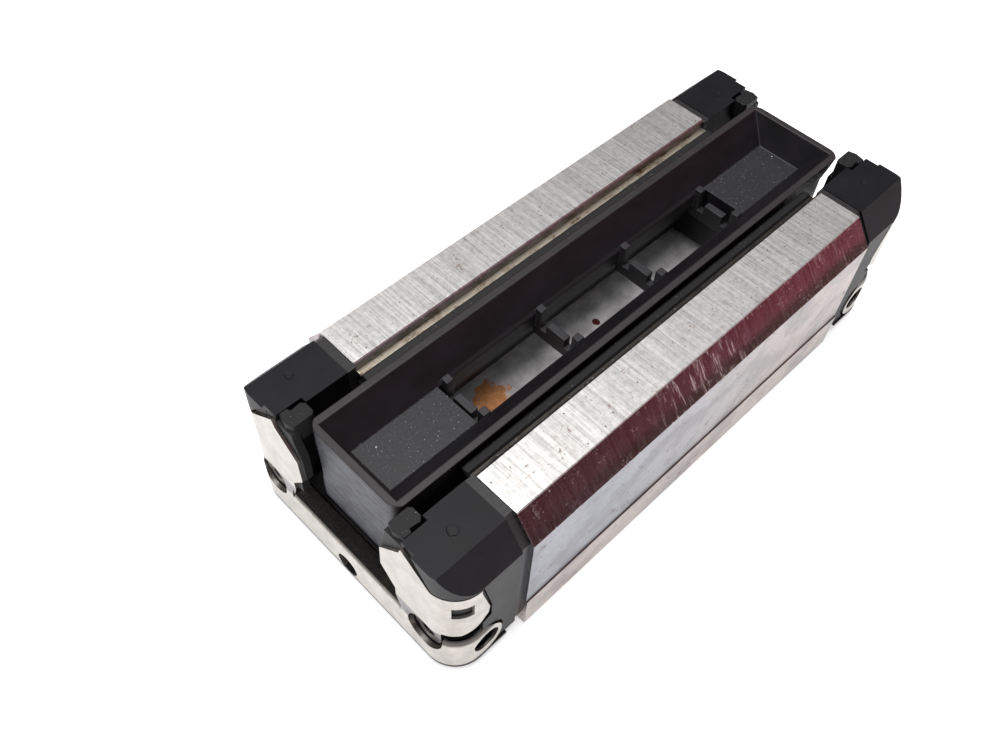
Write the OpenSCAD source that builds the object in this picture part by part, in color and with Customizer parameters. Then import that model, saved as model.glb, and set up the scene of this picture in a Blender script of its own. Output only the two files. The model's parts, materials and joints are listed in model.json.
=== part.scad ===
// Linear guide carriage, slim long block for a 23 mm profiled rail, lying on its mounting face
// with a plastic transport rail in its channel. X is the travel direction, Z points out of the
// channel, and the origin is the centre of the mounting face. "near" is the -X end, "left" the +Y side.

/* [Block] */
// Length of the steel block along the travel
block_length = 79.5; // [79:0.5:84]
// Width over the two reference bands
block_width = 48; // [48:0.5:50]
// Height from the mounting face to the open side
block_height = 29.9; // [29.5:0.1:31]
// Height of the reference band that stands proud at the foot of each side
band_height = 7.6; // [5:0.2:9]
// How far the reference band stands proud of the side
band_step = 0.25; // [0.1:0.05:0.5]
// Width of the long chamfer, measured across the block
chamfer_width = 3.6; // [2:0.1:4]
// Height of the long chamfer
chamfer_height = 4.6; // [3:0.1:4.8]
// Height of the channel floor above the mounting face
channel_floor = 11; // [10.8:0.1:11]
// Half width of the channel mouth between the steel legs
mouth_half = 12.3; // [12.2:0.05:12.4]

/* [Mounting] */
// Hole spacing along the travel
hole_spacing_x = 50; // [44:1:54]
// Hole spacing across the block
hole_spacing_y = 35; // [33:0.5:36]
// Core diameter of the mounting threads
hole_core_d = 5; // [4.2:0.1:5.2]
// Depth of the mounting threads
hole_depth = 9; // [6:0.5:9]

/* [Ball circuits] */
// Ball diameter
ball_d = 4.762; // [4.7:0.002:4.77]
// Distance from the centre plane to the loaded rows
load_y = 12.3; // [12.2:0.05:12.4]
// Distance from the centre plane to the return rows
return_y = 19.6; // [19.5:0.05:19.7]
// Heights of the lower and the upper rows
row_z = [14.2, 21.4];
// Balls in one straight row
balls_per_row = 17; // [15:1:17]

/* [End caps] */
// Overall length over the two end plates
overall_length = 107.9; // [107:0.1:109]
// Thickness of the plate that separates block and cap
return_plate_t = 1.5; // [1.4:0.1:1.6]
// Radius of the upright corners of the caps
corner_r = 4.5; // [3:0.5:5]
// Half width of the caps under the end plate
cap_half = 22.7; // [22.65:0.05:22.75]
// Height at which the end plate bends inward, above its lower strip
strip_top = 8.8; // [8.4:0.1:9]

/* [Transport rail] */
// Length of the transport rail
tray_length = 101.6; // [98:0.2:104]
// Half width of the rim
tray_rim_half = 9.3; // [9.1:0.1:9.3]
// Height of the rim above the mounting face
tray_top = 29.5; // [29.2:0.1:29.8]
// Height of the trough floor
tray_floor = 24.6; // [24.2:0.1:25]
// Distance between the cross bars
bar_pitch = 19.8; // [19:0.2:20.2]

/* [Hidden] */
$fn = 48;
eps = 0.01;
run_gap = 0.03;
fit_gap = 0.05;
loose_gap = 0.1;
half_length = block_length / 2;
side_half = block_width / 2 - band_step;
chamfer_y = side_half - chamfer_width;
chamfer_z = block_height - chamfer_height;

// Channel features of the steel block
edge_break = 0.4;
seal_slot_z = [27.6, 28.3];
seal_slot_half = 14.4;
strip_inner = 11.2;
lip_tip = 9.55;
foot_slope = 0.7;
pocket_half = 16;
pocket_z = [10.4, 26];
insert_inner = 13.2;

// Ball tracks
ball_r = ball_d / 2;
track_r = 2.5;
tube_r = 2.87;
tube_bore_r = 2.9;
turn_x = half_length + return_plate_t;
turn_r = (return_y - load_y) / 2;
turn_y = (return_y + load_y) / 2;
turn_chord = ball_d + 0.088;
turn_half_angle = asin(turn_chord / 2 / turn_r);
spool_z = [channel_floor + 0.3, 24.4];
first_step = ball_d + 0.138;
turn_first_x = turn_r * cos(turn_half_angle);
turn_first_y = turn_r * (1 - sin(turn_half_angle));
row_end_x = turn_x + turn_first_x - sqrt(first_step * first_step - turn_first_y * turn_first_y);
ball_pitch = 2 * row_end_x / (balls_per_row - 1);

// Ball guides
guide_y = [10.5, 13.15];
guide_z = [[11.05, 14.2], [14.2, 21.4], [21.4, 25.95]];

// End caps and what is on them
plate_gap = fit_gap;
sheet_t = 0.5;
strip_proud = 0.25;
strip_t = 0.45;
strip_end = overall_length / 2;
cap_end = strip_end - plate_gap - sheet_t - strip_proud;
sheet_r = corner_r + plate_gap + sheet_t;
strip_r = sheet_r + strip_proud;
brow = plate_gap + sheet_t;
cap_z = [1.8, block_height - 0.2];
cap_chamfer = [3.5, 4.65];
cap_channel_half = 12;
return_plate_half = cap_half + 0.2;
skirt_z = [1.55, 2.15];
skirt_half = cap_half + 0.85;
shell_gap = 0.4;
recess_side = 0.25;
screw_y = 17.3;
screw_z = 9;
screw_r = 1.46;
screw_head_r = 2.75;
screw_head_l = 3;
head_play = 0.3;
screw_head_x = cap_end - 3.1;
screw_tip_x = half_length - 6.2;
screw_hole_r = 3.25;
port_r = 2.1;
front_port_z = 4.1;
front_port_depth = 5;
side_port = [47.4, 6.3];
side_port_depth = 2.6;
gallery_r = 0.9;
gallery_x = cap_end - 3.4;
gallery_y = 12;
gallery_rise = 1.6;

// End plate: lower strip, folded band and the two wings
strip_z = 2.2;
fold_top = 11.9;
fold_depth = 1.9;
fold_half = 12.4;
strip_roll_z = 10.1;
slit_depth = 0.7;
wing_top = 28.9;
wing_low = cap_z[1] - cap_chamfer.y - 0.55;
wing_inner = 13.4;
wing_outer = 18.9;
wing_nose = [[8.8, 23], [8.6, 17.8]];
wing_foot_z = 14.2;
foot_half = 11.4;
tab_x = [cap_end - 6.2, cap_end - 4.6];
tab_z = [12.7, 14.2, 17.2];
tongue_top = strip_roll_z;
tongue_r = 3.7;
tongue_x = side_port.x + 0.7;
latch = [cap_end - 3.4, cap_end - 0.7];
latch_z = [18.8, 21.9];

// End seal
seal_t = 1.35;
seal_half = 15.4;
seal_z = [7.8, 28.4];
seal_notch = [13.4, 12.9];
seal_head_half = 10.1;
seal_head_top = 16.2;
seal_waist_half = 8.3;
seal_waist_z = [18.1, 23.2];
seal_shoulder = [9.5, 26.8];
hook_x = [cap_end - 4.4, cap_end - 0.6];
hook_y = [9.75, 12.9];
hook_z = [25.6, cap_z[1]];

// Transport rail
tray_half = tray_length / 2;
tray_corner_r = 2.5;
rim_t = 1.15;
trough_half = 4.2;
trough_end = 3.1;
head_half = 9.6;
head_z = [12.1, 15.6];
waist_half = 7.6;
waist_z = [17.6, 22.8];
cavity_waist = 6;
cavity_head = 8.1;
cavity_top = 21.6;
floor_t = 1.6;
bar_t = 1.4;
bar_z = [19.7, 21.6];
ledge_half = 1.95;
ledge_top = tray_floor - 1.2;
post_size = 1.4;
post_inner = 3.2;
post_top = tray_floor + 1;
window_end = 1.5 * bar_pitch + 1.6;

// ---------- helpers ----------

// Both halves of an outline that is given for +Y only, from its foot to its inner end
function both_sides(half) = concat(half, [for (i = [len(half) - 1:-1:0]) [-half[i].x, half[i].y]]);

// An outline drawn in Y and Z, swept along X from x0 to x1
module along_x(x0, x1) {
    translate([x0, 0, 0]) rotate([90, 0, 90]) linear_extrude(height = x1 - x0) children();
}

// An outline drawn in X and Z, swept along Y between -reach and reach
module along_y(reach) {
    translate([0, reach, 0]) rotate([90, 0, 0]) linear_extrude(height = 2 * reach) children();
}

module box(low, high) {
    translate(low) cube(high - low);
}

module x_bore(y, z, r, x0, x1) {
    translate([x0, y, z]) rotate([0, 90, 0]) cylinder(r = r, h = x1 - x0);
}

module y_bore(x, z, r, y0, y1) {
    translate([x, y0, z]) rotate([-90, 0, 0]) cylinder(r = r, h = y1 - y0);
}

// Puts a child made for the +X end at the end that is asked for: 1 is far, -1 is near
module at_end(end) {
    mirror([end < 0 ? 1 : 0, 0, 0]) children();
}

// Puts a child made for the +Y side at the side that is asked for: 1 is left, -1 is right
module at_side(side) {
    mirror([0, side < 0 ? 1 : 0, 0]) children();
}

// ---------- steel block ----------

module block_outline() {
    half = [[block_width / 2 - edge_break, 0], [block_width / 2, edge_break],
        [block_width / 2, band_height], [side_half, band_height + band_step],
        [side_half, chamfer_z], [chamfer_y, block_height],
        [mouth_half + edge_break, block_height], [mouth_half, block_height - edge_break],
        [mouth_half, seal_slot_z[1]], [seal_slot_half, seal_slot_z[1]],
        [seal_slot_half, seal_slot_z[0]], [mouth_half, seal_slot_z[0]],
        [mouth_half, pocket_z[1]], [pocket_half, pocket_z[1]],
        [pocket_half, pocket_z[0]], [mouth_half, pocket_z[0]],
        [mouth_half - foot_slope, channel_floor]];
    polygon(both_sides(half));
}

module mounting_hole() {
    point_h = 1.2;
    lead_in = 0.6;
    translate([0, 0, -eps]) cylinder(d = hole_core_d, h = hole_depth + eps);
    translate([0, 0, hole_depth - eps]) cylinder(d1 = hole_core_d, d2 = 0.4, h = point_h);
    translate([0, 0, -eps]) cylinder(d1 = hole_core_d + 2 * lead_in, d2 = hole_core_d, h = lead_in);
}

module runner_block() {
    color("silver") difference() {
        along_x(-half_length, half_length) block_outline();
        for (side = [-1, 1], z = row_z)
            x_bore(side * return_y, z, tube_bore_r, -half_length - 1, half_length + 1);
        for (sx = [-1, 1], sy = [-1, 1])
            translate([sx * hole_spacing_x / 2, sy * hole_spacing_y / 2, 0]) mounting_hole();
        for (end = [-1, 1], side = [-1, 1])
            at_end(end) x_bore(side * screw_y, screw_z, screw_r + run_gap, screw_tip_x - 1, half_length + 1);
    }
}

// Hardened bar with the two loaded ball tracks of one side
module raceway_insert(side) {
    half_l = half_length - fit_gap;
    color("lightslategray") at_side(side) difference() {
        box([-half_l, insert_inner, pocket_z[0] + fit_gap], [half_l, pocket_half - fit_gap, pocket_z[1] - fit_gap]);
        for (z = row_z)
            x_bore(load_y, z, track_r, -half_l - 1, half_l + 1);
    }
}

// Plastic strip that keeps the balls in their tracks when no rail is in the channel
module ball_guide(side, level) {
    half_l = half_length - fit_gap;
    color([0.12, 0.12, 0.13]) at_side(side) difference() {
        box([-half_l, guide_y[0], guide_z[level][0]], [half_l, guide_y[1], guide_z[level][1]]);
        for (z = row_z)
            x_bore(load_y, z, track_r, -half_l - 1, half_l + 1);
    }
}

module return_tube(side, level) {
    color([0.18, 0.18, 0.2]) at_side(side) difference() {
        x_bore(return_y, row_z[level], tube_r, -half_length, half_length);
        x_bore(return_y, row_z[level], track_r, -half_length - 1, half_length + 1);
    }
}

// ---------- side seals ----------

module side_seal_strip(side) {
    reach = half_length - loose_gap;
    color([0.78, 0.76, 0.7]) at_side(side)
        box([-reach, strip_inner, seal_slot_z[0] + fit_gap],
            [reach, seal_slot_half - loose_gap, seal_slot_z[1] - fit_gap]);
}

module side_seal_lip(side) {
    reach = half_length - loose_gap;
    strip_low = seal_slot_z[0] + fit_gap;
    strip_high = seal_slot_z[1] - fit_gap;
    lip = [[strip_inner, strip_low], [strip_inner, strip_high], [strip_inner - 0.3, strip_high + 0.35],
        [lip_tip + 0.35, strip_high + 0.2], [lip_tip, strip_high - 0.1], [lip_tip + 0.65, strip_low],
        [strip_inner - 0.4, strip_low - 0.4]];
    color([0.1, 0.1, 0.11]) at_side(side) along_x(-reach, reach) polygon(lip);
}

// ---------- end parts, made for the +X end ----------

// Block outline of a cap or plate, with the rail channel open
module cap_outline(half, low, high, channel_half) {
    difference() {
        polygon(both_sides([[half - edge_break, low], [half, low + edge_break], [half, high - cap_chamfer.y],
            [half - cap_chamfer.x, high]]));
        translate([-channel_half, channel_floor]) square([2 * channel_half, high]);
    }
}

// Plan outline from x0 to x1 with both outer corners rounded
module cap_plan(x0, x1, half, r) {
    translate([x0, -half]) square([x1 - x0 - r, 2 * half]);
    translate([x0, -half + r]) square([x1 - x0, 2 * (half - r)]);
    for (side = [-1, 1])
        translate([x1 - r, side * (half - r)]) circle(r);
}

// The half-round paths of the balls at one end
module turn_tracks() {
    for (side = [-1, 1], z = row_z)
        translate([turn_x, side * turn_y, z]) rotate_extrude() translate([turn_r, 0]) circle(track_r);
}

module return_plate(end) {
    color([0.1, 0.1, 0.11]) at_end(end) difference() {
        along_x(half_length, turn_x)
            cap_outline(return_plate_half, cap_z[0] + loose_gap, cap_z[1] - loose_gap, cap_channel_half);
        for (side = [-1, 1]) {
            for (z = row_z) {
                x_bore(side * load_y, z, track_r, half_length - 1, turn_x + 1);
                x_bore(side * return_y, z, track_r, half_length - 1, turn_x + 1);
            }
            x_bore(side * screw_y, screw_z, screw_r + loose_gap, half_length - 1, turn_x + 1);
        }
    }
}

// Spool that forms the inner side of the two ball turns of one side
module turn_guide(end, side) {
    color([0.25, 0.25, 0.27]) at_end(end) at_side(side) difference() {
        intersection() {
            translate([turn_x, turn_y, spool_z[0]]) cylinder(r = turn_r, h = spool_z[1] - spool_z[0]);
            box([turn_x, 0, 0], [turn_x + turn_r + 1, block_width, block_height]);
        }
        turn_tracks();
    }
}

// Ball turns, screw pockets, grease ports and the galleries that join them
module cap_cavities() {
    turn_tracks();
    for (side = [-1, 1]) {
        translate([turn_x, side * turn_y, spool_z[0] - plate_gap])
            cylinder(r = turn_r + run_gap, h = spool_z[1] - spool_z[0] + 2 * plate_gap);
        x_bore(side * screw_y, screw_z, screw_r + loose_gap, turn_x - 1, cap_end + 1);
        x_bore(side * screw_y, screw_z, screw_head_r + head_play, screw_head_x, cap_end + 2);
        at_side(side) y_bore(side_port.x, side_port.y, port_r, cap_half - side_port_depth, cap_half + 2);
        at_side(side) y_bore(side_port.x, side_port.y, gallery_r, gallery_y, cap_half);
        x_bore(side * gallery_y, front_port_z + gallery_rise, gallery_r, side_port.x - 1, gallery_x + gallery_r);
    }
    x_bore(0, front_port_z, port_r, cap_end - front_port_depth, cap_end + 2);
    y_bore(gallery_x, front_port_z, gallery_r, -gallery_y - gallery_r, gallery_y + gallery_r);
}

// The space around the end of the cap that the end plate fills, with a gap at its edges
module plate_recess() {
    over = block_height + 2;
    intersection() {
        wrap_wall(0, 3);
        along_x(0, overall_length) polygon(both_sides([[block_width, -1], [block_width, wing_low + shell_gap],
            [wing_outer + recess_side, wing_low + shell_gap], [wing_inner + recess_side, over]]));
        along_y(block_width) union() {
            polygon([[overall_length, -1], [overall_length, over], [tab_x[1] - shell_gap, over],
                [tab_x[1] - shell_gap, wing_low], [tab_x[0] - shell_gap, tab_z[2]],
                [tab_x[0] - shell_gap, tab_z[1] - shell_gap], [cap_end - 2, tab_z[0] - shell_gap],
                [cap_end - 2, -1]]);
            translate([tongue_x, strip_z + tongue_r]) circle(tongue_r + shell_gap);
            translate([tongue_x, tongue_top - tongue_r]) circle(tongue_r + shell_gap);
            translate([tongue_x - tongue_r - shell_gap, strip_z + tongue_r])
                square([tongue_r, tongue_top - strip_z - 2 * tongue_r]);
            translate([tongue_x, -1]) square([overall_length, tongue_top + shell_gap + 1]);
            translate([tongue_x, tongue_top - 1]) square([overall_length, tab_z[1] - tongue_top]);
        }
    }
    for (side = [-1, 1])
        at_side(side) intersection() {
            wrap_wall(-slit_depth, 3);
            box([tongue_x, screw_y + screw_head_r, tongue_top], [overall_length, block_width, tab_z[0]]);
        }
}

// Moulded cap: side walls with the chamfer of the block, ball turns inside, grease ports
module end_cap(end) {
    color([0.16, 0.16, 0.17]) at_end(end) difference() {
        union() {
            intersection() {
                along_x(turn_x, cap_end + brow) cap_outline(cap_half + brow, cap_z[0], cap_z[1], cap_channel_half);
                translate([0, 0, -1]) linear_extrude(height = block_height + 2)
                    cap_plan(0, cap_end + brow, cap_half + brow, sheet_r);
            }
            translate([0, 0, skirt_z[0]]) linear_extrude(height = skirt_z[1] - skirt_z[0])
                intersection() {
                    cap_plan(0, strip_end - fit_gap, skirt_half, strip_r);
                    translate([turn_x + 2, -block_width]) square([20, 2 * block_width]);
                }
        }
        difference() {
            plate_recess();
            box([0, -block_width, -1], [overall_length, block_width, skirt_z[1]]);
        }
        cap_cavities();
        seal_pocket();
        fold_recess();
    }
}

// ---------- end seal ----------

// Opening of the seal: it follows the rail's head, waist and sides with a running gap
module rail_opening(over) {
    polygon(both_sides([[seal_head_half, channel_floor + 0.2], [seal_head_half, seal_head_top],
        [seal_waist_half, seal_waist_z[0]], [seal_waist_half, seal_waist_z[1]],
        [seal_shoulder.x, seal_shoulder.y], [hook_y[0], over]]));
}

// Front outline of the seal, narrower at its foot; grow is added all round
module seal_outline(grow) {
    reach = seal_half + grow;
    foot = seal_notch[0] + grow;
    polygon(both_sides([[foot, seal_z[0] - grow], [foot, seal_notch[1] - grow], [reach, seal_notch[1] - grow],
        [reach, seal_z[1] + grow]]));
}

module seal_pocket() {
    along_x(cap_end - seal_t - fit_gap, cap_end + 2) seal_outline(fit_gap);
    for (side = [-1, 1])
        at_side(side) box([hook_x[0] - loose_gap, 0, hook_z[0] - 2 * loose_gap],
            [cap_end + 2, hook_y[1] + loose_gap, hook_z[1] + 1]);
}

// Rubber wiper that follows the rail, with a hook over the inner corner of each cap leg
module end_seal(end) {
    color([0.08, 0.08, 0.09]) at_end(end) difference() {
        union() {
            along_x(cap_end - seal_t, cap_end) seal_outline(0);
            for (side = [-1, 1])
                at_side(side) seal_hook();
        }
        along_x(cap_end - 7, cap_end + 1) rail_opening(hook_z[1] + 1);
        fold_recess();
    }
}

// The hook is notched on its outer side and bevelled towards the rail
module seal_hook() {
    plan = [[hook_x[0], hook_y[0] + 0.5], [hook_x[0] + 0.5, hook_y[0]], [hook_x[1], hook_y[0]],
        [hook_x[1] + 0.4, hook_y[0] + 1.4], [hook_x[1], hook_y[1]], [hook_x[1] - 1.3, hook_y[1]],
        [hook_x[1] - 1.5, hook_y[1] - 0.6], [hook_x[0] + 0.6, hook_y[1] - 0.4], [hook_x[0], hook_y[1] - 1]];
    translate([0, 0, hook_z[0]]) linear_extrude(height = hook_z[1] - hook_z[0]) polygon(plan);
}

// ---------- stainless end plate ----------

// Wall of constant thickness that wraps the end of the cap and both its corners
module wrap_wall(inner_gap, thickness) {
    grow = inner_gap + thickness;
    linear_extrude(height = block_height + 2) difference() {
        cap_plan(0, cap_end + grow, cap_half + grow, corner_r + grow);
        cap_plan(-1, cap_end + inner_gap, cap_half + inner_gap, corner_r + inner_gap);
    }
}

// Front view of the sheet: the wings beside the opening, slit above the strip at the corners
module sheet_front_outline() {
    edge = block_width / 2 + 1;
    slit_y = screw_y + screw_hole_r - head_play;
    polygon(both_sides([[edge, strip_z], [edge, strip_top], [slit_y, strip_top], [slit_y, tab_z[0]],
        [edge, tab_z[0]], [edge, wing_low], [wing_outer, wing_low], [wing_inner, wing_top],
        [wing_inner - 0.5, wing_top - 1.5], wing_nose[0], wing_nose[1], [foot_half, wing_foot_z], [foot_half, fold_top],
        [fold_half, strip_top]]));
}

// Side view of the sheet: everything past the corner, and the tab on the side of the cap
module sheet_side_outline() {
    far_x = overall_length / 2 + 1;
    front_x = cap_end - 0.7;
    polygon([[far_x, 0], [far_x, block_height], [tab_x[1], block_height], [tab_x[1], wing_low - 0.9],
        [tab_x[0], tab_z[2]], [tab_x[0] + 0.2, tab_z[2] - 1.7], [tab_x[0] + 1.5, tab_z[1]],
        [front_x - 1, tab_z[0]], [front_x, tab_z[0]], [front_x, 0]]);
}

// Side view of the strip: it ends in a round tongue around the side port
module strip_side_outline() {
    translate([tongue_x, strip_z]) square([overall_length, tongue_top - strip_z]);
    translate([tongue_x, strip_z + tongue_r]) circle(tongue_r);
    translate([tongue_x, tongue_top - tongue_r]) circle(tongue_r);
    translate([tongue_x - tongue_r, strip_z + tongue_r]) square([tongue_r, tongue_top - strip_z - 2 * tongue_r]);
}

// Section of the strip around the corners: its top edge rolls inward; base is the face of the cap
module strip_section(base) {
    outer = base + plate_gap + sheet_t + strip_proud;
    inner = outer - strip_t;
    polygon([[inner, strip_z], [outer, strip_z], [outer, strip_roll_z - 1.2], [outer - 0.1, strip_roll_z - 0.6],
        [outer - 0.35, strip_roll_z - 0.1], [inner - 0.1, strip_roll_z], [inner - 0.2, strip_roll_z - 0.35],
        [inner, strip_roll_z - 0.9]]);
}

// Section of the band between the wings that folds inward above the strip
module fold_section() {
    outer = strip_end;
    inner = outer - strip_t;
    polygon([[inner, strip_z], [outer, strip_z], [outer, strip_top], [outer - 0.15, strip_top + 0.5],
        [outer - 0.45, strip_top + 0.9], [cap_end - fold_depth + 0.3, fold_top],
        [cap_end - fold_depth, fold_top - 0.3], [inner - 0.25, strip_top + 0.5], [inner, strip_top - 0.2]]);
}

// Soft step from the strip up to the wing
module step_section() {
    outer = strip_end;
    inner = outer - strip_t;
    step_top = strip_top + 2.2;
    polygon([[inner, strip_z], [outer, strip_z], [outer, strip_top], [outer - strip_proud, step_top],
        [inner, step_top]]);
}

// Front view of the folded band, narrower at its top; grow widens it
module fold_outline(grow) {
    polygon(both_sides([[fold_half + grow, strip_z], [fold_half + grow, strip_top - 0.2],
        [foot_half + grow, fold_top], [foot_half + grow, fold_top + 1]]));
}

// What the folded band takes away from the cap and the seal behind it
module fold_recess() {
    low_z = strip_top + loose_gap;
    back = fold_depth + 2 * loose_gap;
    over = fold_top + 0.5;
    intersection() {
        along_y(block_width) polygon([[cap_end, low_z], [cap_end - back, fold_top + loose_gap],
            [cap_end - back, over], [strip_end + 1, over], [strip_end + 1, low_z]]);
        along_x(0, overall_length) fold_outline(loose_gap);
    }
}

// Strip and folded band: straight across the front, round the corner and along the side
module strip() {
    corner = [cap_end - corner_r, cap_half - corner_r];
    intersection() {
        along_y(corner.y) fold_section();
        along_x(0, overall_length) fold_outline(0);
    }
    for (side = [-1, 1])
        at_side(side) {
            intersection() {
                along_y(corner.y) step_section();
                box([0, fold_half - eps, 0], [overall_length, corner.y, block_height]);
            }
            translate([corner.x, corner.y, 0]) rotate_extrude(angle = 90) strip_section(corner_r);
            intersection() {
                along_x(tongue_x - 2 * tongue_r, corner.x)
                    translate([corner.y, 0]) strip_section(corner_r);
                along_y(block_width) strip_side_outline();
            }
        }
}

module end_plate(end) {
    color([0.8, 0.79, 0.75]) at_end(end) difference() {
        union() {
            intersection() {
                wrap_wall(plate_gap, sheet_t);
                along_x(0, overall_length) sheet_front_outline();
                along_y(block_width) sheet_side_outline();
            }
            strip();
        }
        for (side = [-1, 1]) {
            x_bore(side * screw_y, screw_z, screw_hole_r, cap_end - 1, strip_end + 1);
            at_side(side) y_bore(side_port.x, side_port.y, port_r + 2 * loose_gap, cap_half - 1, cap_half + 3);
            at_side(side) box([latch[0], cap_half - 3, latch_z[0]], [latch[1], cap_half + 3, latch_z[1]]);
        }
        x_bore(0, front_port_z, port_r + fit_gap, cap_end - 1, strip_end + 1);
    }
}

// The two socket screws that clamp plate, seal, cap and return plate to the block
module end_screws(end) {
    socket_r = 1.44;
    socket_depth = 1.6;
    head_end = screw_head_x + screw_head_l;
    color([0.3, 0.3, 0.32]) at_end(end) for (side = [-1, 1])
        difference() {
            union() {
                x_bore(side * screw_y, screw_z, screw_head_r, screw_head_x, head_end);
                x_bore(side * screw_y, screw_z, screw_r, screw_tip_x, screw_head_x);
            }
            translate([head_end - socket_depth, side * screw_y, screw_z]) rotate([0, 90, 0])
                cylinder(r = socket_r, h = socket_depth + 1, $fn = 6);
        }
}

// ---------- balls ----------

module ball_row(side, level, y) {
    color("gainsboro") for (i = [0:balls_per_row - 1])
        translate([-row_end_x + i * ball_pitch, side * y, row_z[level]]) sphere(ball_r);
}

module turn_balls(end, side) {
    color("gainsboro") at_end(end) at_side(side) for (z = row_z, turn = [-1, 1])
        translate([turn_x + turn_r * cos(turn_half_angle), turn_y + turn * turn_r * sin(turn_half_angle), z])
            sphere(ball_r);
}

// ---------- transport rail ----------

module tray_outline() {
    polygon(both_sides([[head_half - 0.7, head_z[0]], [head_half, head_z[0] + 0.7], [head_half, head_z[1]],
        [waist_half, waist_z[0]], [waist_half, waist_z[1]], [tray_rim_half, tray_top]]));
}

// Half section of the trough: its side slopes from the floor up to the rim
function trough_half_section(low, high) = [[low, tray_floor], [high, tray_top], [high, tray_top + 1]];

// Open space inside the rim, with all four sides sloped
module tray_trough() {
    intersection() {
        along_x(-tray_half, tray_half)
            polygon(both_sides(trough_half_section(trough_half, tray_rim_half - rim_t)));
        along_y(block_width)
            polygon(both_sides(trough_half_section(tray_half - trough_end, tray_half - rim_t)));
    }
}

// Hollow under the rail, widest in its head
module tray_cavity() {
    polygon(both_sides([[cavity_head, head_z[0] - 1], [cavity_head, head_z[1] - 0.4],
        [cavity_waist, waist_z[0]], [cavity_waist, cavity_top]]));
}

// Cross bar with a ledge in its middle and a small post beside each wall
module tray_bar(x) {
    reach = trough_half + 0.5;
    box([x - bar_t / 2, -reach, bar_z[0]], [x + bar_t / 2, reach, bar_z[1]]);
    box([x - bar_t / 2, -ledge_half, bar_z[0]], [x + bar_t / 2, ledge_half, ledge_top]);
    for (side = [-1, 1])
        at_side(side) box([x - post_size / 2, post_inner, bar_z[0]],
            [x + post_size / 2, post_inner + post_size, post_top]);
}

module tray_body() {
    difference() {
        intersection() {
            along_x(-tray_half, tray_half) tray_outline();
            translate([0, 0, head_z[0] - 1]) linear_extrude(height = tray_top) {
                cap_plan(0, tray_half, head_half, tray_corner_r);
                mirror([1, 0]) cap_plan(0, tray_half, head_half, tray_corner_r);
            }
        }
        tray_trough();
        along_x(-window_end, window_end) tray_cavity();
        box([-window_end, -trough_half, cavity_top - 1], [window_end, trough_half, tray_floor + eps]);
        for (end = [-1, 1])
            at_end(end) box([window_end + floor_t, -cavity_waist, head_z[0] - 1],
                [tray_half - floor_t - 0.4, cavity_waist, tray_floor - floor_t]);
    }
}

module transport_rail() {
    color([0.14, 0.13, 0.15]) {
        tray_body();
        for (i = [-1.5:1:1.5])
            tray_bar(i * bar_pitch);
    }
}

runner_block();
raceway_insert(1);  // raceway_insert_left
raceway_insert(-1);  // raceway_insert_right
ball_guide(1, 0);  // ball_guide_lower_left
ball_guide(1, 1);  // ball_guide_center_left
ball_guide(1, 2);  // ball_guide_upper_left
ball_guide(-1, 0);  // ball_guide_lower_right
ball_guide(-1, 1);  // ball_guide_center_right
ball_guide(-1, 2);  // ball_guide_upper_right
return_tube(1, 0);  // return_tube_lower_left
return_tube(1, 1);  // return_tube_upper_left
return_tube(-1, 0);  // return_tube_lower_right
return_tube(-1, 1);  // return_tube_upper_right
side_seal_strip(1);  // side_seal_strip_left
side_seal_strip(-1);  // side_seal_strip_right
side_seal_lip(1);  // side_seal_lip_left
side_seal_lip(-1);  // side_seal_lip_right
return_plate(-1);  // return_plate_near
return_plate(1);  // return_plate_far
end_cap(-1);  // end_cap_near
end_cap(1);  // end_cap_far
turn_guide(-1, 1);  // turn_guide_near_left
turn_guide(-1, -1);  // turn_guide_near_right
turn_guide(1, 1);  // turn_guide_far_left
turn_guide(1, -1);  // turn_guide_far_right
end_seal(-1);  // end_seal_near
end_seal(1);  // end_seal_far
end_plate(-1);  // end_plate_near
end_plate(1);  // end_plate_far
end_screws(-1);  // end_screws_near
end_screws(1);  // end_screws_far
ball_row(1, 0, load_y);  // load_balls_lower_left
ball_row(1, 1, load_y);  // load_balls_upper_left
ball_row(-1, 0, load_y);  // load_balls_lower_right
ball_row(-1, 1, load_y);  // load_balls_upper_right
ball_row(1, 0, return_y);  // return_balls_lower_left
ball_row(1, 1, return_y);  // return_balls_upper_left
ball_row(-1, 0, return_y);  // return_balls_lower_right
ball_row(-1, 1, return_y);  // return_balls_upper_right
turn_balls(-1, 1);  // turn_balls_near_left
turn_balls(-1, -1);  // turn_balls_near_right
turn_balls(1, 1);  // turn_balls_far_left
turn_balls(1, -1);  // turn_balls_far_right
transport_rail();
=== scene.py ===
import json
import math
import bmesh
import bpy
from mathutils import Matrix, Vector


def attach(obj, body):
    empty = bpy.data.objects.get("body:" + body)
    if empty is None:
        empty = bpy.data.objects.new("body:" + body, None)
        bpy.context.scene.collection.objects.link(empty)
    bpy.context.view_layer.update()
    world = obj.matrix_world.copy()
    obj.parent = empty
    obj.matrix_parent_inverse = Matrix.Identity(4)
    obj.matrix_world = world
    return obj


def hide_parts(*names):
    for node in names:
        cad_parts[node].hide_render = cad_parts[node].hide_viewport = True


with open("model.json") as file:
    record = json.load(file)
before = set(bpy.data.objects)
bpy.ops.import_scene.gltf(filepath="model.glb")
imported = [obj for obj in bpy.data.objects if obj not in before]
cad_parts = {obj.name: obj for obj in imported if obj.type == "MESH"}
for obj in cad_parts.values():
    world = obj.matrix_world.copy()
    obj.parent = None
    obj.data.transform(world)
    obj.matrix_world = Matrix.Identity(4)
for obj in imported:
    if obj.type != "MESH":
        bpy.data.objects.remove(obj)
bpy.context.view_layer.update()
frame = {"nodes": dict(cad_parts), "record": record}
MM = 0.001
SHARP_ANGLE = math.radians(32)
SIDES = {"left": 1, "right": -1}
ENDS = {"near": -1, "far": 1}


# ---------- helpers for procedural materials ----------

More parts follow.
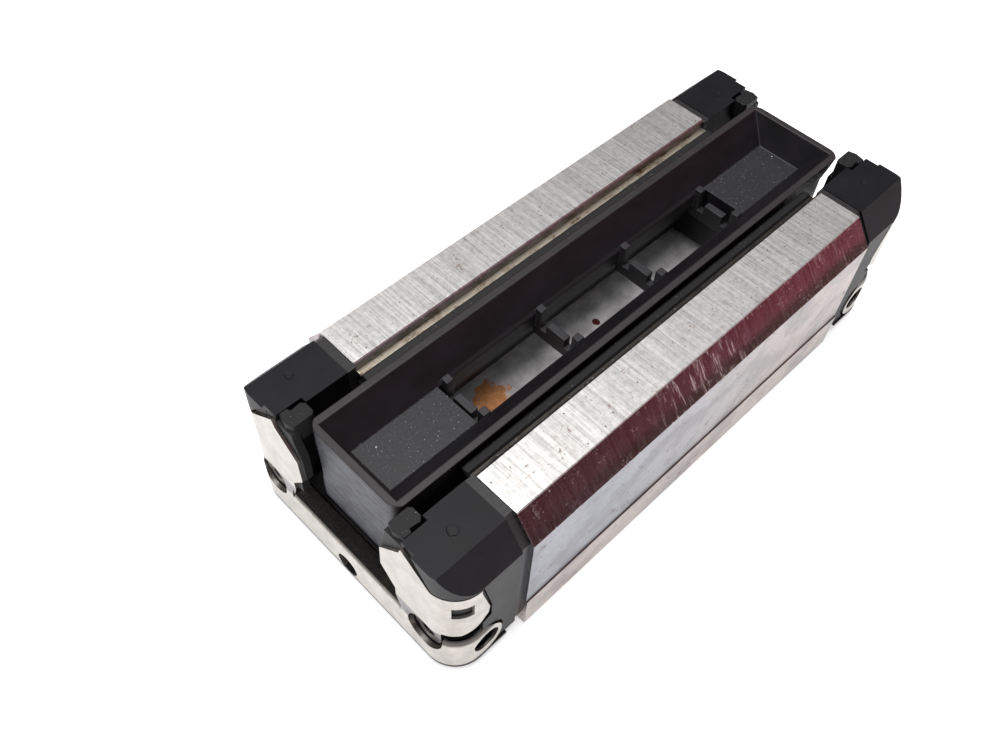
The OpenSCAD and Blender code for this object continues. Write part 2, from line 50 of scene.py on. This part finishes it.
def tone(red, green, blue):
    """A colour given in 0-255 display values, as the linear colour a shader wants."""
    channels = []
    for value in (red, green, blue):
        value /= 255
        channels.append(value / 12.92 if value <= 0.04045 else ((value + 0.055) / 1.055) ** 2.4)
    return (*channels, 1.0)


class Finish:
    """A material built from nodes. Every pattern is laid out in the part's own millimetres."""

    def __init__(self, name):
        self.material = bpy.data.materials.new(name)
        self.material.use_nodes = True
        self.tree = self.material.node_tree
        self.shader = self.tree.nodes["Principled BSDF"]
        coordinates = self.tree.nodes.new("ShaderNodeTexCoord")
        scale = self.tree.nodes.new("ShaderNodeVectorMath")
        scale.operation = "SCALE"
        scale.inputs["Scale"].default_value = 1000
        self.tree.links.new(coordinates.outputs["Object"], scale.inputs[0])
        self.place = scale.outputs[0]
        split = self.tree.nodes.new("ShaderNodeSeparateXYZ")
        self.tree.links.new(self.place, split.inputs[0])
        self.x, self.y, self.z = split.outputs
        self.across = self.math("ABSOLUTE", self.y)
        self.along = self.math("ABSOLUTE", self.x)

    def feed(self, socket, value):
        if isinstance(value, bpy.types.NodeSocket):
            self.tree.links.new(value, socket)
        else:
            socket.default_value = value

    def math(self, operation, first, second=0.0):
        node = self.tree.nodes.new("ShaderNodeMath")
        node.operation = operation
        self.feed(node.inputs[0], first)
        self.feed(node.inputs[1], second)
        return node.outputs[0]

    def times(self, *values):
        result = values[0]
        for value in values[1:]:
            result = self.math("MULTIPLY", result, value)
        return result

    def plus(self, *values):
        result = values[0]
        for value in values[1:]:
            result = self.math("ADD", result, value)
        return result

    def outside(self, value):
        return self.math("SUBTRACT", 1.0, value)

    def stretched(self, stretch, offset):
        node = self.tree.nodes.new("ShaderNodeMapping")
        node.inputs["Location"].default_value = offset
        node.inputs["Scale"].default_value = stretch
        self.tree.links.new(self.place, node.inputs["Vector"])
        return node.outputs[0]

    def noise(self, frequency, stretch=(1, 1, 1), detail=3.0, roughness=0.55, offset=(0, 0, 0), bend=0.0):
        node = self.tree.nodes.new("ShaderNodeTexNoise")
        node.inputs["Scale"].default_value = frequency
        node.inputs["Detail"].default_value = detail
        node.inputs["Roughness"].default_value = roughness
        node.inputs["Distortion"].default_value = bend
        self.tree.links.new(self.stretched(stretch, offset), node.inputs["Vector"])
        return node.outputs[0]

    def cells(self, frequency, offset):
        """Distance to the nearest of many scattered points, and a random number for each point."""
        node = self.tree.nodes.new("ShaderNodeTexVoronoi")
        node.inputs["Scale"].default_value = frequency
        self.tree.links.new(self.stretched((1, 1, 1), offset), node.inputs["Vector"])
        split = self.tree.nodes.new("ShaderNodeSeparateColor")
        self.tree.links.new(node.outputs["Color"], split.inputs[0])
        return node.outputs["Distance"], split.outputs[0]

    def between(self, value, low, high, start=0.0, end=1.0):
        node = self.tree.nodes.new("ShaderNodeMapRange")
        node.interpolation_type = "SMOOTHSTEP"
        for name, number in (("From Min", low), ("From Max", high), ("To Min", start), ("To Max", end)):
            node.inputs[name].default_value = number
        self.feed(node.inputs["Value"], value)
        return node.outputs[0]

    def band(self, value, low, high, soft=0.1):
        return self.times(self.between(value, low - soft, low + soft), self.between(value, high + soft, high - soft))

    def near(self, x, y, radius, wobble=0.35, frequency=0.6):
        """1 inside a ragged round spot in plan, 0 outside."""
        dx = self.math("SUBTRACT", self.x, x)
        dy = self.math("SUBTRACT", self.y, y)
        gap = self.math("SQRT", self.plus(self.times(dx, dx), self.times(dy, dy)))
        ragged = self.plus(gap, self.times(self.math("SUBTRACT", self.noise(frequency), 0.5), 2 * wobble * radius))
        return self.between(ragged, radius * 1.12, radius * 0.88)

    def blend(self, amount, first, second):
        node = self.tree.nodes.new("ShaderNodeMix")
        node.data_type = "RGBA"
        self.feed(node.inputs[0], amount)
        self.feed(node.inputs[6], first)
        self.feed(node.inputs[7], second)
        return node.outputs[2]

    def specks(self, frequency, size, share, offset=(0, 0, 0)):
        """Small scattered spots: only a share of the points gets one."""
        distance, chance = self.cells(frequency, offset)
        return self.times(self.between(distance, size, size * 0.6), self.between(chance, 1 - share, 1 - share + 0.01))

    def relief(self, height, depth_mm):
        node = self.tree.nodes.new("ShaderNodeBump")
        node.inputs["Strength"].default_value = 1.0
        node.inputs["Distance"].default_value = depth_mm * MM
        self.feed(node.inputs["Height"], height)
        self.tree.links.new(node.outputs[0], self.shader.inputs["Normal"])

    def surface(self, colour, roughness, metallic=0.0, **constants):
        self.feed(self.shader.inputs["Base Color"], colour)
        self.feed(self.shader.inputs["Roughness"], roughness)
        self.feed(self.shader.inputs["Metallic"], metallic)
        for name, value in constants.items():
            self.shader.inputs[name.replace("_", " ")].default_value = value
        return self.material


# ---------- finishes ----------

def ground_steel():
    f = Finish("ground_steel")
    top = f.between(f.z, 29.6, 29.8)
    chamfer = f.times(f.band(f.z, 25.25, 29.7, 0.05), f.between(f.across, 19.9, 20.1))
    foot = f.between(f.z, 7.75, 7.6)
    floor = f.times(f.between(f.z, 11.6, 11.2), f.between(f.across, 13, 12.6))
    cross_lines = f.noise(2.6, (1, 0.02, 0.02), detail=6, roughness=0.75)
    long_lines = f.noise(5.0, (0.03, 1, 1), detail=5, roughness=0.7, offset=(3, 7, 1))
    faint = f.noise(1.1, detail=6, roughness=0.75)
    shine = f.plus(f.times(f.between(cross_lines, 0.34, 0.66), 0.65), f.times(f.between(faint, 0.35, 0.65), 0.35))
    colour = f.blend(shine, tone(184, 181, 177), tone(246, 243, 239))
    # Side faces: a darker copy of the top's colour as painted shade, warming towards +X as a painted reflection of
    # the red-brown wall.
    stretch = f.between(f.x, -25, 30)
    side = f.blend(f.times(long_lines, faint), f.blend(stretch, tone(116, 118, 124), tone(146, 136, 132)),
                   f.blend(stretch, tone(184, 187, 194), tone(216, 206, 202)))
    colour = f.blend(f.outside(top), colour, side)
    colour = f.blend(foot, colour, f.blend(long_lines, tone(148, 138, 133), tone(196, 186, 180)))
    # Chamfer colour is a painted reflection of the red-brown wall: grey at the near end turning pink towards +X,
    # darker on the chamfer's lower part.
    chamfer_reflection = f.blend(f.between(f.x, -38, 30), tone(128, 118, 122), tone(214, 150, 166))
    low_chamfer_reflection = f.blend(f.between(f.x, -38, 30), tone(92, 90, 92), tone(104, 96, 84))
    chamfer_reflection = f.blend(f.between(f.z, 27.6, 26.0), chamfer_reflection, low_chamfer_reflection)
    colour = f.blend(chamfer, colour, f.blend(f.times(long_lines, 0.6), chamfer_reflection, tone(176, 150, 152)))
    patch = f.plus(f.times(f.band(f.x, -12, 6, 4), 0.9), f.times(f.band(f.x, 26, 36, 3), 0.5), 0.12)
    scuffs = f.times(chamfer, patch, f.between(f.noise(0.5, (2.2, 0.5, 0.5), detail=4), 0.48, 0.62),
                     f.between(f.noise(9.0, (1, 0.03, 0.03), detail=4, roughness=0.7), 0.46, 0.6))
    colour = f.blend(f.times(scuffs, 0.8), colour, tone(236, 222, 218))
    nicks = f.times(f.between(f.noise(2.6, (1, 0.4, 0.4), detail=4, roughness=0.7, offset=(9, 0, 0)), 0.6, 0.66),
                    f.plus(f.band(f.z, 29.2, 29.75, 0.15), f.band(f.z, 25.0, 25.6, 0.15)))
    colour = f.blend(f.times(nicks, 0.7), colour, tone(245, 238, 232))
    stains = f.times(f.between(f.noise(0.3, detail=5, roughness=0.65, offset=(2, 5, 0)), 0.56, 0.7), 0.30)
    colour = f.blend(stains, colour, tone(150, 132, 122))
    pits = f.specks(0.8, 0.12, 0.3)
    fine_pits = f.specks(1.9, 0.17, 0.2, offset=(4, 1, 0))
    smears = f.times(f.between(f.noise(0.3, detail=6, roughness=0.7, offset=(31, 12, 3)), 0.56, 0.64),
                     f.between(f.noise(1.7, detail=5, roughness=0.75), 0.5, 0.6))
    colour = f.blend(f.times(smears, 0.75), colour, tone(122, 98, 84))
    colour = f.blend(f.plus(f.times(pits, 0.85), f.times(fine_pits, 0.75)), colour, tone(70, 38, 32))
    step_line = f.band(f.z, 7.62, 7.85, 0.04)
    colour = f.blend(f.times(step_line, f.between(f.across, 23, 23.5), 0.7), colour, tone(92, 84, 80))
    grime = f.times(floor, f.between(f.noise(0.35, detail=5, roughness=0.6, offset=(7, 7, 0)), 0.35, 0.7))
    colour = f.blend(floor, colour, f.blend(faint, tone(176, 178, 184), tone(226, 220, 214)))
    colour = f.blend(f.times(grime, 0.6), colour, tone(134, 130, 130))
    rust = f.times(floor, f.near(-19.9, 3.9, 3.0, 0.9, 0.5))
    rust_shade = f.blend(f.noise(1.4, detail=5, roughness=0.7), tone(128, 58, 20), tone(240, 168, 98))
    colour = f.blend(f.times(rust, 0.95), colour, rust_shade)
    colour = f.blend(f.times(floor, f.near(4.4, 3.1, 0.7, 0.4, 1.2)), colour, tone(78, 26, 24))
    # Painted shade: the channel's inner walls are darkened brown-grey.
    inner_wall_shade = f.times(f.between(f.across, 16.2, 16), f.band(f.z, 10.5, 29.4, 0.1), f.outside(floor))
    colour = f.blend(f.times(inner_wall_shade, 0.55), colour, tone(72, 60, 54))
    mottle = f.between(f.noise(0.16, (0.8, 1, 1), detail=4, roughness=0.6, offset=(5, 0, 2)), 0.42, 0.62)
    walls = f.times(f.between(f.across, 23.2, 23.5), f.between(f.z, 25.4, 25.2))
    colour = f.blend(f.times(mottle, walls, 0.45), colour, tone(88, 88, 92))
    roughness = f.plus(f.times(cross_lines, 0.14), 0.27)
    roughness = f.math("SUBTRACT", roughness, f.times(chamfer, 0.19))
    roughness = f.plus(roughness, f.times(scuffs, 0.2), f.times(f.plus(pits, rust, smears), 0.3))
    lines = f.plus(f.times(cross_lines, f.outside(foot)), f.times(long_lines, foot))
    f.relief(f.plus(f.times(lines, 0.9), f.times(pits, -3.0), f.times(nicks, -0.8)), 0.007)
    return f.surface(colour, roughness, f.outside(f.times(floor, 0.75)))


def stainless_sheet():
    f = Finish("stainless_sheet")
    cloud = f.noise(0.35, detail=5, roughness=0.6)
    cloud = f.plus(f.times(cloud, 0.5), f.times(f.noise(6.5, detail=3, roughness=0.8), 0.5))
    colour = f.blend(f.between(cloud, 0.35, 0.65), tone(160, 155, 148), tone(192, 187, 180))
    scratches = f.plus(f.noise(3.5, (1, 0.06, 1), detail=4, roughness=0.7), f.noise(3.0, (1, 1, 0.08), detail=3))
    speckle = f.noise(7.0, detail=3, roughness=0.8, offset=(1, 2, 3))
    roll = f.band(f.z, 8.7, 12.3, 0.2)
    # Painted reflection: the rolled band is coloured near black above a ragged height, standing in for the dark it
    # reflects.
    dark_reflection_edge = f.plus(f.z, f.times(speckle, 1.4))
    colour = f.blend(f.times(roll, f.between(dark_reflection_edge, 9.5, 10.3), 0.9), colour, tone(66, 62, 60))
    colour = f.blend(f.times(f.specks(1.1, 0.07, 0.3), 0.6), colour, tone(120, 96, 80))
    colour = f.blend(f.times(f.between(f.noise(0.5, detail=4, offset=(8, 3, 1)), 0.6, 0.72), 0.25), colour,
                     tone(158, 140, 122))
    roughness = f.plus(f.times(scratches, 0.09), f.times(f.outside(roll), 0.14), 0.1)
    f.relief(f.plus(f.times(scratches, 0.3), f.times(f.outside(roll), speckle, 0.35), f.times(cloud, 1.2)), 0.008)
    return f.surface(colour, roughness, 1.0)


def seal_strip_steel():
    f = Finish("seal_strip_steel")
    grime = f.between(f.noise(0.7, (0.4, 1, 1), detail=6, roughness=0.7), 0.42, 0.68)
    lines = f.noise(6.0, (0.05, 1, 1), detail=4)
    colour = f.blend(grime, tone(206, 196, 178), tone(92, 72, 56))
    colour = f.blend(f.times(f.specks(1.6, 0.12, 0.35), 0.8), colour, tone(36, 27, 22))
    # The right-hand strip is coloured near black with light grit: partly real dirt and grit, partly painted shade
    # under the steel's edge.
    right = f.between(f.y, -5, -6)
    grit = f.plus(f.specks(1.8, 0.2, 0.3, offset=(6, 0, 0)), f.specks(0.9, 0.14, 0.25))
    dirt_and_shade = f.blend(f.noise(2.5, detail=5, roughness=0.8), tone(18, 17, 18), tone(58, 55, 55))
    colour = f.blend(f.times(right, 0.93), colour, f.blend(f.times(grit, 0.7), dirt_and_shade, tone(150, 150, 156)))
    f.relief(f.plus(lines, f.times(grime, 0.8)), 0.006)
    return f.surface(colour, f.plus(0.28, f.times(grime, 0.35), f.times(lines, 0.1)), 1.0)


def hardened_steel():
    f = Finish("hardened_steel")
    lines = f.noise(6.0, (0.03, 1, 1), detail=5, roughness=0.7)
    colour = f.blend(f.times(lines, f.noise(0.6, detail=3)), tone(120, 116, 112), tone(205, 202, 198))
    f.relief(lines, 0.004)
    return f.surface(colour, f.plus(0.18, f.times(lines, 0.22)), 1.0)


def screw_steel():
    f = Finish("screw_steel")
    turning = f.noise(4.0, detail=4, roughness=0.7)
    colour = f.blend(turning, tone(54, 50, 52), tone(112, 104, 100))
    colour = f.blend(f.times(f.specks(1.4, 0.14, 0.3), 0.7), colour, tone(120, 78, 52))
    f.relief(turning, 0.008)
    return f.surface(colour, f.plus(0.25, f.times(turning, 0.25)), 1.0)


def ball_steel():
    f = Finish("ball_steel")
    oil = f.noise(0.5, detail=4, roughness=0.6)
    colour = f.blend(f.between(oil, 0.4, 0.7), tone(224, 224, 228), tone(160, 146, 126))
    f.relief(f.noise(5.0, detail=2), 0.0015)
    return f.surface(colour, f.plus(0.05, f.times(oil, 0.16)), 1.0)


def cap_plastic():
    f = Finish("cap_plastic")
    grain = f.noise(5.0, detail=3, roughness=0.75)
    smudge = f.noise(0.25, detail=5, roughness=0.6)
    colour = f.blend(f.between(smudge, 0.3, 0.7), tone(7, 6, 9), tone(16, 14, 18))
    colour = f.blend(f.times(f.between(grain, 0.45, 0.7), 0.2), colour, tone(34, 31, 37))
    dust = f.specks(1.5, 0.05, 0.22)
    colour = f.blend(f.times(dust, 0.55), colour, tone(150, 146, 146))
    pits = f.plus(f.near(47.64, 15.2, 0.55, 0.3, 1.5), f.near(-47.64, 17.13, 0.6, 0.4, 1.5),
                  f.near(-47.3, -16.2, 0.75, 0.5, 1.5), f.near(47.4, -16.3, 0.6, 0.4, 1.5))
    pits = f.times(pits, f.between(f.z, 29.3, 29.5))
    colour = f.blend(f.times(pits, 0.6), colour, tone(18, 17, 19))
    f.relief(f.plus(grain, f.times(smudge, 1.5), f.times(pits, -6)), 0.012)
    return f.surface(colour, f.plus(0.38, f.times(grain, 0.12), f.times(smudge, 0.12)), 0.0, IOR=1.4,
                     Specular_IOR_Level=0.38)


def tray_plastic():
    f = Finish("tray_plastic")
    grain = f.noise(6.0, detail=3, roughness=0.75)
    smudge = f.noise(0.3, (0.5, 1, 1), detail=5, roughness=0.6)
    rim = f.between(f.z, 29.25, 29.45)
    colour = f.blend(f.between(smudge, 0.3, 0.7), tone(10, 8, 11), tone(22, 17, 22))
    trough_floor = f.times(f.band(f.z, 24.4, 24.8, 0.1), f.between(f.along, 30.5, 31))
    texture = f.between(f.noise(2.2, detail=5, roughness=0.8), 0.3, 0.7)
    colour = f.blend(f.times(trough_floor, 0.8), colour, f.blend(texture, tone(12, 12, 13), tone(42, 41, 44)))
    bars = f.times(f.band(f.z, 19, 25.9, 0.1), f.between(f.across, 4.75, 4.6), f.between(f.along, 31.2, 31))
    colour = f.blend(f.times(bars, 0.6), colour, tone(40, 39, 41))
    # The rim's top is coloured lighter grey, unevenly.
    rim_mottle = f.between(f.noise(1.2, (0.4, 1, 1), detail=5, roughness=0.7), 0.35, 0.65)
    colour = f.blend(f.times(rim, f.plus(0.5, f.times(rim_mottle, 0.4))), colour, tone(44, 38, 38))
    dust = f.times(trough_floor, f.plus(f.times(f.specks(1.6, 0.13, 0.3), 0.7),
                                        f.times(f.specks(3.0, 0.2, 0.3, offset=(5, 5, 0)), 0.4),
                                        f.specks(0.6, 0.1, 0.2, offset=(1, 8, 0))))
    dust = f.times(dust, f.between(f.noise(0.35, detail=3, offset=(3, 1, 4)), 0.30, 0.5))
    colour = f.blend(f.times(dust, 0.9), colour, tone(196, 194, 200))
    lint = f.specks(1.2, 0.045, 0.25, offset=(2, 2, 2))
    colour = f.blend(f.times(lint, 0.5), colour, tone(150, 146, 148))
    end_wall = f.times(f.between(f.along, 50.6, 50.75), f.between(f.z, 28.9, 28.6))
    streaks = f.noise(0.8, (1, 0.5, 1.6), detail=5, roughness=0.6, bend=0.6)
    colour = f.blend(f.times(end_wall, f.between(streaks, 0.3, 0.7), 0.75), colour, tone(82, 87, 97))
    diagonal = f.math("SUBTRACT", f.plus(f.z, -17.0), f.times(f.across, 1.25))
    mould_line = f.times(f.band(diagonal, -0.12, 0.12, 0.1), end_wall)
    colour = f.blend(f.times(mould_line, 0.6), colour, tone(52, 54, 60))
    f.relief(f.plus(grain, f.times(smudge, 1.2), f.times(mould_line, -3), f.times(dust, 3)), 0.01)
    roughness = f.plus(0.36, f.times(grain, 0.14), f.times(smudge, 0.1))
    return f.surface(colour, roughness, 0.0, IOR=1.5)


def seal_rubber():
    f = Finish("seal_rubber")
    grain = f.noise(3.5, detail=5, roughness=0.8)
    colour = f.blend(grain, tone(10, 10, 11), tone(30, 29, 31))
    grit = f.plus(f.specks(1.9, 0.16, 0.3), f.specks(3.4, 0.17, 0.2, offset=(3, 3, 3)))
    colour = f.blend(f.times(grit, f.between(f.noise(0.4, detail=3), 0.45, 0.6), 0.8), colour, tone(160, 158, 160))
    f.relief(f.plus(grain, f.times(grit, 0.8)), 0.03)
    return f.surface(colour, f.plus(0.5, f.times(grain, 0.2)), 0.0, Specular_IOR_Level=0.35)


def return_plate_plastic():
    f = Finish("return_plate_plastic")
    grain = f.noise(4.0, detail=4, roughness=0.7)
    ribs = f.noise(2.4, (0.2, 1, 1), detail=2)
    colour = f.blend(grain, tone(18, 17, 18), tone(44, 41, 42))
    colour = f.blend(f.times(f.specks(1.5, 0.1, 0.3), 0.5), colour, tone(110, 90, 78))
    f.relief(f.plus(grain, f.times(ribs, 2)), 0.02)
    return f.surface(colour, f.plus(0.36, f.times(grain, 0.2)))


def guide_plastic():
    f = Finish("guide_plastic")
    grain = f.noise(4.5, detail=4, roughness=0.7)
    film = f.noise(0.4, detail=4)
    colour = f.blend(f.between(film, 0.35, 0.65), tone(24, 23, 25), tone(52, 50, 53))
    f.relief(f.plus(grain, film), 0.01)
    return f.surface(colour, f.plus(0.34, f.times(grain, 0.22)))


FINISHES = {make.__name__: make for make in (ground_steel, hardened_steel, guide_plastic, seal_strip_steel,
            seal_rubber, return_plate_plastic, cap_plastic, stainless_sheet, screw_steel, ball_steel, tray_plastic)}
materials = {name: make() for name, make in FINISHES.items()}
slots = {part["node"]: part["material_slot"] for part in frame["record"]["subparts"]}


# ---------- pieces ----------

def add_piece(name, mesh, body, slot_name):
    piece = bpy.data.objects.new(name, mesh)
    bpy.context.scene.collection.objects.link(piece)
    mesh.materials.clear()
    mesh.materials.append(materials[slot_name])
    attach(piece, body)
    return piece


def body_of_node(node):
    return next(body for body, nodes in frame["record"]["behaviour"]["bodies"].items() if node in nodes)


def softened(node, width):
    """A copy of a CAD node with its flat faces made whole and its sharp edges rounded."""
    mesh = frame["nodes"][node].data.copy()
    mesh.name = node + "_shape"
    work = bmesh.new()
    work.from_mesh(mesh)
    bmesh.ops.remove_doubles(work, verts=work.verts, dist=2e-6)
    bmesh.ops.dissolve_limit(work, angle_limit=math.radians(0.4), verts=work.verts, edges=work.edges)
    work.to_mesh(mesh)
    work.free()
    for layer in list(mesh.attributes):
        if layer.name == "custom_normal":
            mesh.attributes.remove(layer)
    piece = add_piece(node + "_visual", mesh, body_of_node(node), slots[node])
    rounding = piece.modifiers.new("rounded_edges", "BEVEL")
    rounding.width = width * MM
    rounding.segments = 2
    rounding.limit_method = "ANGLE"
    rounding.angle_limit = SHARP_ANGLE
    rounding.use_clamp_overlap = True
    rounding.harden_normals = False
    for face in mesh.polygons:
        face.use_smooth = True
    mesh.set_sharp_from_angle(angle=SHARP_ANGLE)
    normals = piece.modifiers.new("flat_faces", "WEIGHTED_NORMAL")
    normals.keep_sharp = True
    normals.weight = 80
    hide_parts(node)


for node, width in (("runner_block", 0.12), ("transport_rail", 0.18), ("return_plate_near", 0.12),
                    ("return_plate_far", 0.12), ("side_seal_lip_left", 0.08), ("side_seal_lip_right", 0.08),
                    ("side_seal_strip_left", 0.08), ("side_seal_strip_right", 0.08),
                    ("end_cap_near", 0.12), ("end_cap_far", 0.12), ("end_seal_near", 0.12), ("end_seal_far", 0.12),
                    ("end_plate_near", 0.08), ("end_plate_far", 0.08),
                    ("end_screws_near", 0.12), ("end_screws_far", 0.12)):
    softened(node, width)

for node, piece in frame["nodes"].items():
    piece.data.materials.clear()
    piece.data.materials.append(materials[slots[node]])


PORT_RADIUS = 2.1
THREAD_PITCH = 0.8
THREAD_DEPTH = 0.22
STEPS_PER_TURN = 40


def thread_turns(name, start, inward, length):
    """The turns of a female thread: a sharp ridge that winds along the wall of a bore."""
    inward = Vector(inward).normalized()
    side = inward.orthogonal().normalized()
    other = inward.cross(side)
    count = int(STEPS_PER_TURN * length / THREAD_PITCH)
    mesh = bpy.data.meshes.new(name)
    work = bmesh.new()
    rings = []
    for i in range(count + 1):
        angle = 2 * math.pi * i / STEPS_PER_TURN
        spoke = math.cos(angle) * side + math.sin(angle) * other
        centre = Vector(start) + inward * (THREAD_PITCH * i / STEPS_PER_TURN)
        fade = min(1.0, i / 12, (count - i) / 12)
        root, crest = PORT_RADIUS + 0.02, PORT_RADIUS - THREAD_DEPTH * fade
        section = ((root, -0.3 * THREAD_PITCH), (crest, -0.06 * THREAD_PITCH),
                   (crest, 0.06 * THREAD_PITCH), (root, 0.3 * THREAD_PITCH))
        rings.append([work.verts.new((centre + spoke * r + inward * shift) * MM) for r, shift in section])
    for first, second in zip(rings, rings[1:]):
        for j in range(4):
            work.faces.new((first[j], first[(j + 1) % 4], second[(j + 1) % 4], second[j]))
    work.faces.new(rings[0])
    work.faces.new(tuple(reversed(rings[-1])))
    bmesh.ops.recalc_face_normals(work, faces=work.faces)
    work.to_mesh(mesh)
    work.free()
    for face in mesh.polygons:
        face.use_smooth = True
    mesh.set_sharp_from_angle(angle=math.radians(30))
    add_piece(name, mesh, "block", "screw_steel")


for end, x in ENDS.items():
    thread_turns(f"front_port_thread_{end}", (x * 52.9, 0, 4.1), (-x, 0, 0), 4.0)
    for side, y in SIDES.items():
        thread_turns(f"side_port_thread_{end}_{side}", (x * 47.4, y * 22.4, 6.3), (0, -y, 0), 2.0)


# ---------- studio ----------

CAMERA_PLACE_MM = (-85.62, -57.77, 140.73)
CAMERA_AZIMUTH, CAMERA_ELEVATION, CAMERA_ROLL = (math.radians(angle) for angle in (-47.46, 53.76, 3.72))
SENSOR_WIDTH = 36
FOCAL_TO_SENSOR = 0.97003
FLOOR_HALF = 4
LIGHT_AIM = (0, 0, 0.015)


def make_camera():
    centre = Vector(CAMERA_PLACE_MM) * MM
    azimuth, elevation, roll = CAMERA_AZIMUTH, CAMERA_ELEVATION, CAMERA_ROLL
    back = Vector((math.sin(azimuth) * math.cos(elevation), -math.cos(azimuth) * math.cos(elevation),
                   math.sin(elevation)))
    right = Vector((0, 0, 1)).cross(back).normalized()
    up = back.cross(right)
    right, up = (math.cos(roll) * right + math.sin(roll) * up, -math.sin(roll) * right + math.cos(roll) * up)
    data = bpy.data.cameras.new("camera")
    data.sensor_width = SENSOR_WIDTH
    data.lens = SENSOR_WIDTH * FOCAL_TO_SENSOR
    data.clip_start = 0.005
    data.clip_end = 20
    camera = bpy.data.objects.new("camera", data)
    bpy.context.scene.collection.objects.link(camera)
    camera.matrix_world = Matrix.Translation(centre) @ Matrix((right, up, back)).transposed().to_4x4()
    bpy.context.scene.camera = camera


def make_floor():
    mesh = bpy.data.meshes.new("floor")
    corners = [(x * FLOOR_HALF, y * FLOOR_HALF, 0) for x, y in ((-1, -1), (1, -1), (1, 1), (-1, 1))]
    mesh.from_pydata(corners, [], [(0, 1, 2, 3)])
    floor = bpy.data.objects.new("floor", mesh)
    bpy.context.scene.collection.objects.link(floor)
    paper = Finish("floor_paper")
    fibre = paper.noise(0.8, detail=5, roughness=0.7)
    paper.relief(fibre, 0.01)
    mesh.materials.append(paper.surface(paper.blend(fibre, tone(242, 242, 243), tone(250, 250, 250)), 0.8))
    paper.shader.inputs["Emission Color"].default_value = (1, 1, 1, 1)
    paper.shader.inputs["Emission Strength"].default_value = 0.5


def make_room():
    """Bright soft ceiling, dark walls, and a red-brown wall on the right."""
    world = bpy.data.worlds.new("room")
    bpy.context.scene.world = world
    world.use_nodes = True
    nodes, links = world.node_tree.nodes, world.node_tree.links
    direction = nodes.new("ShaderNodeTexCoord").outputs["Generated"]
    split = nodes.new("ShaderNodeSeparateXYZ")
    links.new(direction, split.inputs[0])

    def step(value, low, high):
        node = nodes.new("ShaderNodeMapRange")
        node.interpolation_type = "SMOOTHSTEP"
        node.inputs["From Min"].default_value = low
        node.inputs["From Max"].default_value = high
        links.new(value, node.inputs["Value"])
        return node.outputs[0]

    def blend(amount, first, second):
        node = nodes.new("ShaderNodeMix")
        node.data_type = "RGBA"
        links.new(amount, node.inputs[0])
        for socket, value in ((node.inputs[6], first), (node.inputs[7], second)):
            if isinstance(value, bpy.types.NodeSocket):
                links.new(value, socket)
            else:
                socket.default_value = value
        return node.outputs[2]

    towards = nodes.new("ShaderNodeVectorMath")
    towards.operation = "DOT_PRODUCT"
    towards.inputs[1].default_value = Vector((0.44, -0.88, 0.2)).normalized()
    links.new(direction, towards.inputs[0])
    wall = blend(step(towards.outputs["Value"], 0.55, 0.85), (0.02, 0.018, 0.02, 1), (0.15, 0.032, 0.045, 1))
    sky = blend(step(split.outputs[2], 0.5, 0.72), wall, (0.76, 0.765, 0.79, 1))
    links.new(sky, nodes["Background"].inputs["Color"])
    nodes["Background"].inputs["Strength"].default_value = 1.0


def soft_light(name, place, size, energy):
    data = bpy.data.lights.new(name, "AREA")
    data.size = size
    data.energy = energy
    light = bpy.data.objects.new(name, data)
    light.location = place
    light.rotation_euler = (Vector(LIGHT_AIM) - Vector(place)).to_track_quat("-Z", "Y").to_euler()
    bpy.context.scene.collection.objects.link(light)


make_camera()
make_floor()
make_room()
soft_light("window_light", (-0.02, 0.06, 0.85), 0.4, 4.6)
soft_light("fill_light", (-0.55, 0.1, 0.6), 0.4, 1.5)
bpy.context.scene.view_settings.view_transform = "Standard"
